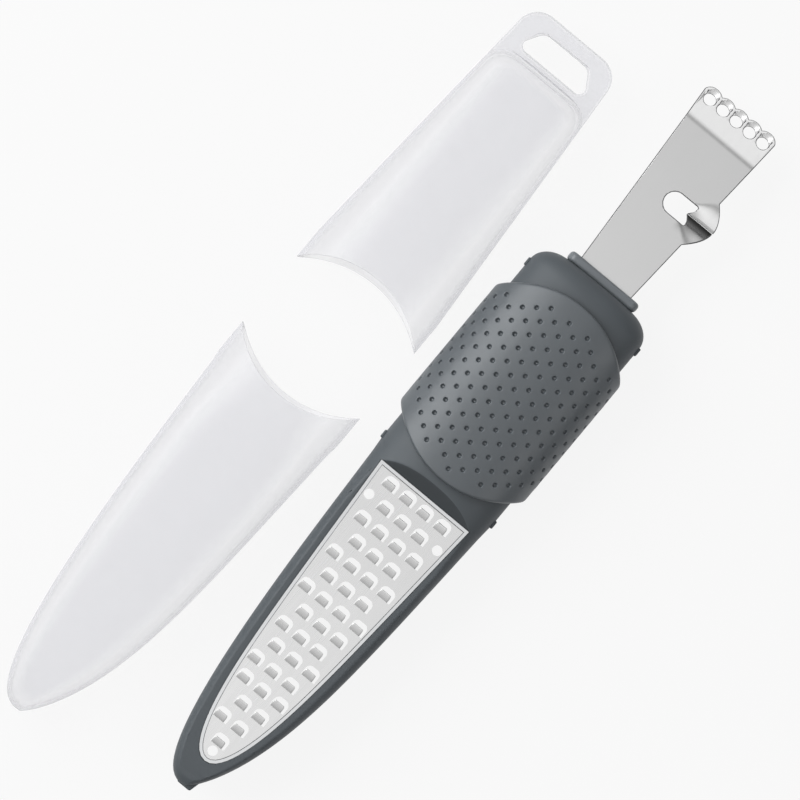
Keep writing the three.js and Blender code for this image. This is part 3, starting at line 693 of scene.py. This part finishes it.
def maths(tree, operation, *values):
    """Works out a sum on other values of a material, or on plain numbers."""
    sum_node = tree.nodes.new("ShaderNodeMath")
    sum_node.operation = operation
    for socket, value in zip(sum_node.inputs, values):
        if isinstance(value, (int, float)):
            socket.default_value = value
        else:
            tree.links.new(value, socket)
    return sum_node.outputs["Value"]


blade_steel = brushed("blade_steel", (0.83, 0.83, 0.83), (0.86, 0.86, 0.86), 0.24, 0.27, 0.05)
# Painted shade: the steel's cut walls and rims get a near-black finish, which draws the dark lines along the
# edges and the dark walls mirrored in the knife's hollow
painted_edge_shade = moulded("painted_edge_shade", (0.09, 0.09, 0.095), (0.13, 0.13, 0.135), 0.7, 0.6, 0.02 * MM, 0.2)
ground_steel = brushed("ground_steel", (0.74, 0.74, 0.74), (0.84, 0.84, 0.84), 0.42, 0.52, 0.2)

# Painted shade: the blade's colour is darkened to near black on the hollow under the knife's lip, up to the
# slit, where the raised lip shades it
tree = blade_steel.node_tree
base_color = tree.nodes["Principled BSDF"].inputs["Base Color"]
tone = base_color.links[0].from_socket
place = tree.nodes.new("ShaderNodeTexCoord")
parts = tree.nodes.new("ShaderNodeSeparateXYZ")
tree.links.new(place.outputs["Object"], parts.inputs["Vector"])
shade_mask = 1
for axis, start, end in (
    ("X", knife_edge - painted_shade_run, knife_edge),
    ("X", knife_edge + 0.06 * MM, knife_edge + 0.05 * MM),
    ("Y", -4.4 * MM, -6.4 * MM),
):
    grade = spread(tree, parts.outputs[axis], (start, end), (0, 1), "SMOOTHSTEP")
    shade_mask = maths(tree, "MULTIPLY", shade_mask, grade)
painted_hollow_shade = tree.nodes.new("ShaderNodeMix")
painted_hollow_shade.data_type = "RGBA"
painted_hollow_shade.inputs["B"].default_value = (0.03, 0.03, 0.03, 1)
tree.links.new(shade_mask, painted_hollow_shade.inputs["Factor"])
tree.links.new(tone, painted_hollow_shade.inputs["A"])
tree.links.new(painted_hollow_shade.outputs["Result"], base_color)

stations = [tang_end] + evenly(tang_end, collar_end, 10) + evenly(collar_end, knife_edge - knife_half, 16)
stations += evenly(knife_edge - knife_half, knife_edge, 24) + evenly(knife_edge, knife_edge + knife_half, 24)
stations += evenly(knife_edge + knife_half, bend_start - bend_lead, 10)
stations += evenly(bend_start - bend_lead, bend_end, 12) + evenly(bend_end, bend_start + head_length, 14)
bpy.ops.mesh.primitive_grid_add(x_subdivisions=len(stations) - 1, y_subdivisions=strips, size=2)
blade = bpy.context.object
blade.name = "zester_strip"
for material in (blade_steel, painted_edge_shade, ground_steel):
    blade.data.materials.append(material)


def blade_half(run):
    share = min(max((run - collar_end) / (bend_start + head_length - collar_end), 0), 1)
    return blade_root_half + (head_half - blade_root_half) * share


def swell(run):
    """How far the slit strip bulges out at a place along the blade."""
    return knife_bulge * (1 - min(abs(run - knife_edge) / knife_half, 1) ** 1.8)


def fan(run, across):
    """How much it is lifted: a fan that opens from the slot's corners to the ends of the bulge."""
    reach = slot_half + (knife_half - slot_half) * smooth_step(-across, 4.5 * MM, 12 * MM)
    return smooth_step(-across, slit_start, 6 * MM) * max(1 - abs(run - knife_edge) / reach, 0) ** 1.9


for vertex in blade.data.vertices:
    run = stations[round((vertex.co.x + 1) / 2 * (len(stations) - 1))]
    half, bulge = blade_half(run), swell(run)
    vertex.co = (run, -half - bulge + (vertex.co.y + 1) / 2 * (2 * half + bulge), 0)


def on_slit(edge):
    ends = [blade.data.vertices[index].co for index in edge.vertices]
    return all(abs(point.x - knife_edge) < 0.01 * MM and point.y < -slit_start for point in ends)


pick(blade, "EDGE", on_slit)
bpy.ops.mesh.edge_split(type="EDGE")
bpy.ops.object.mode_set(mode="OBJECT")
raised = set()
for face in blade.data.polygons:
    if face.center.x > knife_edge:
        raised.update(face.vertices)
for vertex in blade.data.vertices:
    run, across = vertex.co.x, vertex.co.y
    lift = fan(run, across) * (knife_rise if vertex.index in raised else -knife_dip)
    turn = min(max((run - bend_start) / bend_radius, 0), head_tilt)
    over = max(run - bend_start - bend_radius * turn, 0)
    vertex.co = (
        min(run, bend_start) + bend_radius * math.sin(turn) + over * math.cos(turn) + lift * math.sin(turn),
        across,
        middle_height - bend_radius * (1 - math.cos(turn)) - over * math.sin(turn) + lift * math.cos(turn),
    )
# The rims take the painted edge shade
apply_modifier(blade, "SOLIDIFY", thickness=blade_thick, offset=0, material_offset_rim=1)
head_start = bend_start + bend_radius * math.sin(head_tilt)
pick(blade, "FACE", lambda face: face.center.x > head_start + 0.5 * MM)
bpy.ops.mesh.dissolve_limited(angle_limit=math.radians(0.5))
bpy.ops.object.mode_set(mode="OBJECT")

# The slot beside the knife, with a horn between its two rounded corners, and the lip's ground face
horn = slot_half - slot_corner
corner_y = slot_corner - slot_far
slot = arc(knife_edge, slot_near - slot_half, slot_half, 0, 180, 24)
slot += [(knife_edge - slot_half, corner_y)]
slot += arc(knife_edge - horn, corner_y, slot_corner, 180, 280, 5)[1:]
slot += [(knife_edge - horn * (1 - k / 6) * 0.9, -slot_far + slot_horn * (k / 6) ** 1.6) for k in range(1, 7)]
slot += [(knife_edge + horn * (k / 6) * 0.9, -slot_far + slot_horn * (1 - k / 6) ** 1.6) for k in range(1, 6)]
slot += arc(knife_edge + horn, corner_y, slot_corner, 260, 360, 5)
# The slot's walls take the painted edge shade
cut(blade, prism(slot, 0, past), 1)
lip = middle_height + knife_rise + blade_thick / 2 - lip_grind  # where the lip's ground face starts
ground = [(-1, -0.58), (2.5, 1.45), (2.5, 8), (-1, 8)]
ground = [(knife_edge + x * MM, lip + z * MM) for x, z in ground]
cut(blade, prism(ground, 6.3 * MM, 17 * MM, Matrix.Rotation(math.pi / 2, 4, "X")), 2)

# The head's scalloped end and its holes, each ground at a slant to a sharp edge
head_run = head_length - bend_radius * head_tilt
head_plane = Matrix.Translation((
    head_start + head_run * math.cos(head_tilt), 0,
    middle_height - bend_radius * (1 - math.cos(head_tilt)) - head_run * math.sin(head_tilt),
)) @ Matrix.Rotation(head_tilt, 4, "Y")
scallop_radius = ((hole_pitch / 2) ** 2 + scallop_depth ** 2) / (2 * scallop_depth)
scallop_sweep = math.degrees(math.asin(hole_pitch / 2 / scallop_radius))
comb = [(past, -past), (past, past), (-head_corner, past)]
comb += arc(-head_corner, head_half - head_corner, head_corner, 90, 0, 10)
for hole in range(hole_count):
    first = 0 if hole == 0 else scallop_sweep
    last = 0 if hole == hole_count - 1 else -scallop_sweep
    scallop = arc(-scallop_radius, (2 - hole) * hole_pitch, scallop_radius, first, last, 10)
    comb += scallop[0 if hole == 0 else 1:]
comb += arc(-head_corner, head_corner - head_half, head_corner, 0, -90, 10)
comb += [(-head_corner, -past)]
# The cut end takes the painted edge shade
cut(blade, prism(comb, -8 * MM, 8 * MM, head_plane), 1)
slant = Matrix.Identity(4)
slant[0][2] = edge_grind / blade_thick
lower = Matrix.Translation((0, 0, -blade_thick / 2))
rim = circle(0, 0, hole_radius)
holes, grinds = [], []
for hole in range(hole_count):
    here = head_plane @ Matrix.Translation((-hole_setback, (hole - 2) * hole_pitch, 0))
    holes.append(prism(rim, -6 * MM, 6 * MM, here))
    grinds.append(prism(rim, 0, 2 * MM, here @ lower @ slant))
# The holes' walls take the painted edge shade
cut(blade, join(holes), 1)
cut(blade, join(grinds), 2)
apply_modifier(blade, "TRIANGULATE", ngon_method="BEAUTY")
# The rounded edges take the painted edge shade too
round_edges(blade, blade_edge_round, segments=2, angle=75, material=1)

# Rounding folds the thin triangles on the head's flat sides, so these sides are filled again
off_head = head_plane.inverted()


def on_head(face, side):
    place = off_head @ face.center
    return place.x > -head_run + 0.05 * MM and abs(place.z - side * blade_thick / 2) < 0.01 * MM


for side in (1, -1):
    pick(blade, "FACE", lambda face: on_head(face, side))
    bpy.ops.mesh.delete(type="FACE")
    bpy.ops.mesh.select_mode(type="EDGE")
    bpy.ops.mesh.select_non_manifold(extend=False, use_wire=False, use_multi_face=False, use_verts=False)
    bpy.ops.mesh.fill(use_beauty=True)
    bpy.ops.mesh.select_mode(type="FACE")
    bpy.ops.mesh.select_all(action="SELECT")
    bpy.ops.mesh.dissolve_degenerate(threshold=0.01 * MM)
    bpy.ops.mesh.delete_loose()
    bpy.ops.mesh.normals_make_consistent(inside=False)
    bpy.ops.object.mode_set(mode="OBJECT")
for face in blade.data.polygons:
    if on_head(face, 1) or on_head(face, -1):
        face.material_index = 0
smooth(blade, 35, 90)
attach(blade, "tool")
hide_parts("zester_blade")

# Tang pins
# Two short steel pins through the blade's tang and the collar's stem, which hold the blade.
# The moulding hides them.

for name in ("tang_pin_1", "tang_pin_2"):
    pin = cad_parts[name]
    pin.data.materials.clear()
    pin.data.materials.append(blade_steel)

# Blade collar
# A rectangular plastic plug, pushed into the end of the handle, that carries the blade in a slit.
# It is given a lighter grey than the handle, with rounded edges; its stem reaches in to the two pins.

collar_half = Vector((1.5, 12.45, 4)) * MM
collar_corner = 2.4 * MM
collar_round = 1.1 * MM
stem_start, stem_end = 9.7 * MM, 40 * MM
stem_half_width = 11.25 * MM
stem_half_thick = 2.8 * MM
tang_slit_start = 12.4 * MM
tang_slit_half_width = 9.3 * MM
tang_slit_half_thick = 0.6 * MM
pin_places = (20.2 * MM, 32.2 * MM)
pin_hole_radius = 1.8 * MM

bpy.ops.mesh.primitive_cube_add(size=2)
collar = bpy.context.object
collar.name = "collar_plug"
collar.data.transform(
    Matrix.Translation((collar_end - collar_half.x, 0, middle_height)) @ Matrix.Diagonal((*collar_half, 1))
)


def runs_along(edge):
    near, far = [collar.data.vertices[index].co for index in edge.vertices]
    return abs(near.x - far.x) > MM


pick(collar, "EDGE", runs_along)
bpy.ops.mesh.bevel(offset=collar_corner, segments=8)
bpy.ops.object.mode_set(mode="OBJECT")
round_edges(collar, collar_round, segments=6, angle=60)
weld(collar, bar(stem_start, stem_end, stem_half_width, stem_half_thick))
cut(collar, bar(tang_slit_start, past_end, tang_slit_half_width, tang_slit_half_thick))
cut(collar, join([prism(circle(x, 0, pin_hole_radius), 0, past) for x in pin_places]))
smooth(collar)
collar.data.materials.clear()
collar.data.materials.append(moulded(
    "collar_plastic", (0.15, 0.165, 0.178), (0.168, 0.184, 0.198), 0.42, 0.34, 0.02 * MM, 0.5,
))
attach(collar, "tool")
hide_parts("blade_collar")

# Grater cover
# A thin frosted shell moulded to the shape of the grater frame, with a little room round it.
# It lies beside the tool on its tapered side, with its curved mouth towards the other cover.

cover_fit = 0.3 * MM
cover_wall = 1.3 * MM
cover_grow = cover_fit + cover_wall
cover_edge_round = 0.25 * MM
tip_gap = 3 * MM
frame_root = -33 * MM
cover_half_width = body_half_width + cover_grow
cover_aside = 50 * MM
cover_back = 10 * MM
cover_apart = 24 * MM
skin_tones = ((0.66, 0.66, 0.72), (0.7, 0.7, 0.76))


def cover_mouth():
    """Block with the grip's round ends, which trims the covers' mouths to fit against it."""
    radius = edge_radius + cover_fit
    sweep = math.degrees(math.asin((cover_half_width + MM) / radius))
    centre = grip_crown - edge_radius
    outline = arc(centre, 0, radius, -sweep, sweep, 60)
    outline += arc(-centre, 0, radius, 180 - sweep, 180 + sweep, 60)
    return prism(outline, -past, past)


def lay_aside(cover, lean, shift):
    """Turns a cover as it rests on its tapered side, and sets it down beside the tool."""
    cover.data.transform(Matrix.Rotation(lean, 4, "Y"))
    lowest = min(vertex.co.z for vertex in cover.data.vertices)
    cover.data.transform(Matrix.Translation((shift, cover_aside, -lowest)))


def grater_hull(grow, reach, end):
    sections = frame_sections(grow, reach) + [body_section(frame_root, grow), body_section(end, grow)]
    return hull("shell", sections, 0)


def grey_ramp(tree, value, stops):
    """Grey levels at places along a value."""
    ramp = tree.nodes.new("ShaderNodeValToRGB")
    elements = ramp.color_ramp.elements
    for stop, (where, grey) in enumerate(stops):
        element = elements[stop] if stop < 2 else elements.new(where)
        element.position = where
        element.color = (grey, grey, grey, 1)
    tree.links.new(value, ramp.inputs["Fac"])
    return ramp.outputs["Color"]


def frosted(name, opacity, slanted):
    """Translucent plastic with a frosted skin, denser where the wall slants away; where the wall slopes part
    way down it is made more see-through, which paints lighter highlight bands along the flanks.
    """
    material = moulded(name, *skin_tones, 0.36, 0.28, 0.02 * MM, 1)
    tree = material.node_tree
    skin = tree.nodes["Principled BSDF"]
    skin.inputs["IOR"].default_value = 1.6
    facing = tree.nodes.new("ShaderNodeLayerWeight")
    dense = spread(tree, facing.outputs["Facing"], (0.35, 1), (opacity, slanted))
    place = tree.nodes.new("ShaderNodeTexCoord")
    slope = tree.nodes.new("ShaderNodeSeparateXYZ")
    tree.links.new(place.outputs["Normal"], slope.inputs["Vector"])
    level = maths(tree, "ABSOLUTE", slope.outputs["Z"])
    # Painted highlight: the skin is more see-through where the wall slopes between about 25 and 45 degrees,
    # so the flanks show lighter bands
    drawn = grey_ramp(tree, level, [(0.4, 1), (0.985, 1), (0.7, 0.62), (0.9, 0.62)])
    tree.links.new(maths(tree, "MULTIPLY", dense, drawn), skin.inputs["Alpha"])
    return material


frosted_plastic = frosted("frosted_plastic", 0.27, 0.42)
smooth_inside = frosted("smooth_inside", 0.03, 0.08)
grater_sheath = grater_hull(cover_grow, tip_gap + cover_wall, 0)
grater_sheath.name = "grater_sheath"
grater_sheath.data.materials.append(frosted_plastic)
grater_sheath.data.materials.append(smooth_inside)
cut(grater_sheath, grater_hull(cover_fit, tip_gap, MM), 1)
cut(grater_sheath, cover_mouth())
round_edges(grater_sheath, cover_edge_round, angle=50)
lay_aside(grater_sheath, -math.atan((body_half_thick - tip_half_thick) / frame_run), -cover_back)
smooth(grater_sheath)
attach(grater_sheath, "grater_cover")
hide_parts("grater_cover")

# Zester cover
# A tapered frosted shell that slips over the shoulder and the blade, with a flat tab moulded on its end.
# The rounded hole in the tab hangs the tool on a hook.

chamber_start = shoulder_end - shoulder_round
chamber_end = 107.76 * MM
chamber_half_width = 17.3 * MM
chamber_half_thick = 8.92 * MM
chamber_squaring = 0.7
chamber_round = 3 * MM
chamber_corner = 6.5 * MM
taper_steps = 12
corner_steps = 10
tab_length = 15 * MM
tab_corner = 7 * MM
tab_thick = 3.6 * MM
tab_round = 0.8 * MM
loop_far_half, loop_far_round = 5.9 * MM, 3.6 * MM
loop_near_half, loop_near_round = 9.25 * MM, 2 * MM
loop_far_gap, loop_near_gap = 4.7 * MM, 12.7 * MM  # from the tab's end
loop_slant = 58


def zester_hull(inset):
    grow = cover_grow - inset
    sections = [body_section(place, grow) for place in (-inset, chamber_start)]
    straight_end = chamber_end - inset - chamber_corner
    for step in range(1, taper_steps):
        share = step / taper_steps
        place = chamber_start + (straight_end - chamber_start) * share
        narrow = (chamber_half_width - inset - body_half_width - grow) * share
        thin = (chamber_half_thick - inset - body_half_thick - grow) * share
        half = body_half_width + grow + narrow
        thick = body_half_thick + grow + thin
        sections.append((place, half, half, thick, body_squareness + chamber_squaring * share))
    for step in range(corner_steps + 1):
        angle = math.pi / 2 * step / corner_steps
        drawn = 1 - math.cos(angle)
        place = straight_end + chamber_corner * math.sin(angle)
        half = chamber_half_width - inset - chamber_corner * drawn
        thick = chamber_half_thick - inset - chamber_round * drawn
        sections.append((place, half, half, thick, body_squareness + chamber_squaring))
    return hull("shell", sections, 0)


tab_root = chamber_end - chamber_corner
tab_end = chamber_end + tab_length
tab_half = chamber_half_width - MM
tab = [(tab_root, chamber_half_width), (tab_root, -chamber_half_width)]
tab += arc(tab_end - tab_corner, tab_corner - tab_half, tab_corner, -90, 0, 14)
tab += arc(tab_end - tab_corner, tab_half - tab_corner, tab_corner, 0, 90, 14)
tab_plate = prism(tab, -tab_thick / 2, tab_thick / 2)
loop_far = tab_end - loop_far_gap - loop_far_round
loop_near = tab_end - loop_near_gap + loop_near_round
loop = arc(loop_far, loop_far_half, loop_far_round, 0, loop_slant, 10)
loop += arc(loop_near, loop_near_half, loop_near_round, loop_slant, 180, 10)
loop += arc(loop_near, -loop_near_half, loop_near_round, 180, 360 - loop_slant, 10)
loop += arc(loop_far, -loop_far_half, loop_far_round, 360 - loop_slant, 360, 10)
cut(tab_plate, prism(loop, -past, past))
round_edges(tab_plate, tab_round, segments=4, angle=60)
zester_sheath = zester_hull(0)
zester_sheath.name = "zester_sheath"
zester_sheath.data.materials.append(frosted_plastic)
zester_sheath.data.materials.append(smooth_inside)
weld(zester_sheath, tab_plate)
cut(zester_sheath, zester_hull(cover_wall), 1)
cut(zester_sheath, cover_mouth())
round_edges(zester_sheath, cover_edge_round, angle=50)
taper_run = chamber_end - chamber_start - chamber_corner
zester_lean = math.atan((body_half_thick + cover_grow - chamber_half_thick) / taper_run)
mouth_tip = math.sqrt((edge_radius + cover_fit) ** 2 - cover_half_width ** 2) + grip_crown - edge_radius
lay_aside(zester_sheath, zester_lean, cover_apart - 2 * mouth_tip - cover_back)
smooth(zester_sheath)
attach(zester_sheath, "zester_cover")
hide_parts("zester_cover")

# Studio
# A pale floor in a white tent, with a large soft lamp on the covers' side, a strip above it that shows only
# as gloss, and a small lamp opposite. The camera looks straight down.
# The tool runs from the lower left to the upper right of the picture.

floor_drop = 0.2 * MM
floor_glow = 0.88  # share of its own light, the rest shows the shadow
lamp_aim = Vector((-0.02, 0.02, 0))
photo_turn = math.radians(50.2)  # the tool's slope in the photograph
view_centre = Vector((-21.7, 22.9, 12)) * MM
view_width = 228.5 * MM
view_distance = 1.2

bpy.ops.mesh.primitive_plane_add(size=6, location=(0, 0, -floor_drop))
floor = bpy.context.object
floor.name = "floor"


def rays(tree, *kinds):
    """1 for rays of any of these kinds."""
    path = tree.nodes.new("ShaderNodeLightPath")
    either = path.outputs[kinds[0]]
    for kind in kinds[1:]:
        either = maths(tree, "MAXIMUM", either, path.outputs[kind])
    return either


def mix_shaders(tree, share, first, second):
    blend = tree.nodes.new("ShaderNodeMixShader")
    for socket, value in zip(blend.inputs, (share, first, second)):
        tree.links.new(value, socket)
    return blend.outputs["Shader"]


# The camera, gloss and what is seen through the covers all meet a pale floor that keeps its shadow
paper = bpy.data.materials.new("pale_paper")
paper.use_nodes = True
tree = paper.node_tree
sheet = tree.nodes["Principled BSDF"]
sheet.inputs["Base Color"].default_value = (0.6, 0.6, 0.6, 1)
sheet.inputs["Roughness"].default_value = 0.9
glow = tree.nodes.new("ShaderNodeEmission")
glow.inputs["Strength"].default_value = 1
seen = rays(tree, "Is Camera Ray", "Is Glossy Ray", "Is Transmission Ray")
share = maths(tree, "MULTIPLY", seen, floor_glow)
blend = mix_shaders(tree, share, sheet.outputs["BSDF"], glow.outputs["Emission"])
tree.links.new(blend, tree.nodes["Material Output"].inputs["Surface"])
floor.data.materials.append(paper)

world = bpy.data.worlds.new("studio")
bpy.context.scene.world = world
world.use_nodes = True
tree = world.node_tree
direction = tree.nodes.new("ShaderNodeTexCoord")
along = tree.nodes.new("ShaderNodeSeparateXYZ")
tree.links.new(direction.outputs["Generated"], along.inputs["Vector"])
ambient = tree.nodes["Background"]
ambient.inputs["Color"].default_value = (1, 1, 1, 1)
tree.links.new(spread(tree, along.outputs["Z"], (0.2, 1), (0.03, 0.62)), ambient.inputs["Strength"])

# The tent that gloss sees: darker over the bend and near the floor, brighter past the head and by the covers
tent = tree.nodes.new("ShaderNodeBackground")
panels = [(0, 0.8), (0.08, 0.85), (0.3, 1.1), (0.38, 1.5), (0.43, 1.45), (0.48, 0.94), (0.54, 0.96)]
panels += [(0.61, 0.45), (0.68, 0.4), (0.75, 1.05), (0.85, 1.3)]
level = grey_ramp(tree, spread(tree, along.outputs["X"], (-1, 1), (0, 1)), panels)
for axis, source, target in (("Y", (-0.7, 0), (0.35, 1)), ("Z", (0.1, 0.6), (0.45, 1))):
    level = maths(tree, "MULTIPLY", level, spread(tree, along.outputs[axis], source, target))
tree.links.new(level, tent.inputs["Strength"])
backdrop = tree.nodes.new("ShaderNodeBackground")
backdrop.inputs["Color"].default_value = (1, 1, 1, 1)
backdrop.inputs["Strength"].default_value = 1
shiny = rays(tree, "Is Glossy Ray")
lit = mix_shaders(tree, shiny, ambient.outputs["Background"], tent.outputs["Background"])
seen = rays(tree, "Is Camera Ray", "Is Transmission Ray")
blend = mix_shaders(tree, seen, lit, backdrop.outputs["Background"])
tree.links.new(blend, tree.nodes["World Output"].inputs["Surface"])


def soft_lamp(name, place, size, power, gloss, wash):
    """A square lamp aimed at the tool, which may be hidden from gloss or only seen in it."""
    lamp = bpy.data.lights.new(name, "AREA")
    lamp.shape = "SQUARE"
    lamp.size = size
    lamp.energy = power
    holder = bpy.data.objects.new(name, lamp)
    bpy.context.scene.collection.objects.link(holder)
    holder.location = place
    holder.rotation_euler = (lamp_aim - Vector(place)).to_track_quat("-Z", "Y").to_euler()
    holder.visible_glossy = gloss
    holder.visible_diffuse = wash


soft_lamp("key", (0, 0.87, 0.61), 1, 12.3, gloss=False, wash=True)
soft_lamp("strip", (0, 0.74, 0.84), 0.75, 5.2, gloss=True, wash=False)
soft_lamp("fill", (0, -0.75, 0.7), 0.35, 1, gloss=True, wash=True)

lens = bpy.data.cameras.new("camera")
lens.sensor_width = 36
lens.lens = lens.sensor_width * view_distance / view_width
lens.clip_start = 0.01
camera = bpy.data.objects.new("camera", lens)
bpy.context.scene.collection.objects.link(camera)
camera.location = view_centre + Vector((0, 0, view_distance))
camera.rotation_euler = (0, 0, -photo_turn)
bpy.context.scene.camera = camera
bpy.context.scene.view_settings.view_transform = "Standard"
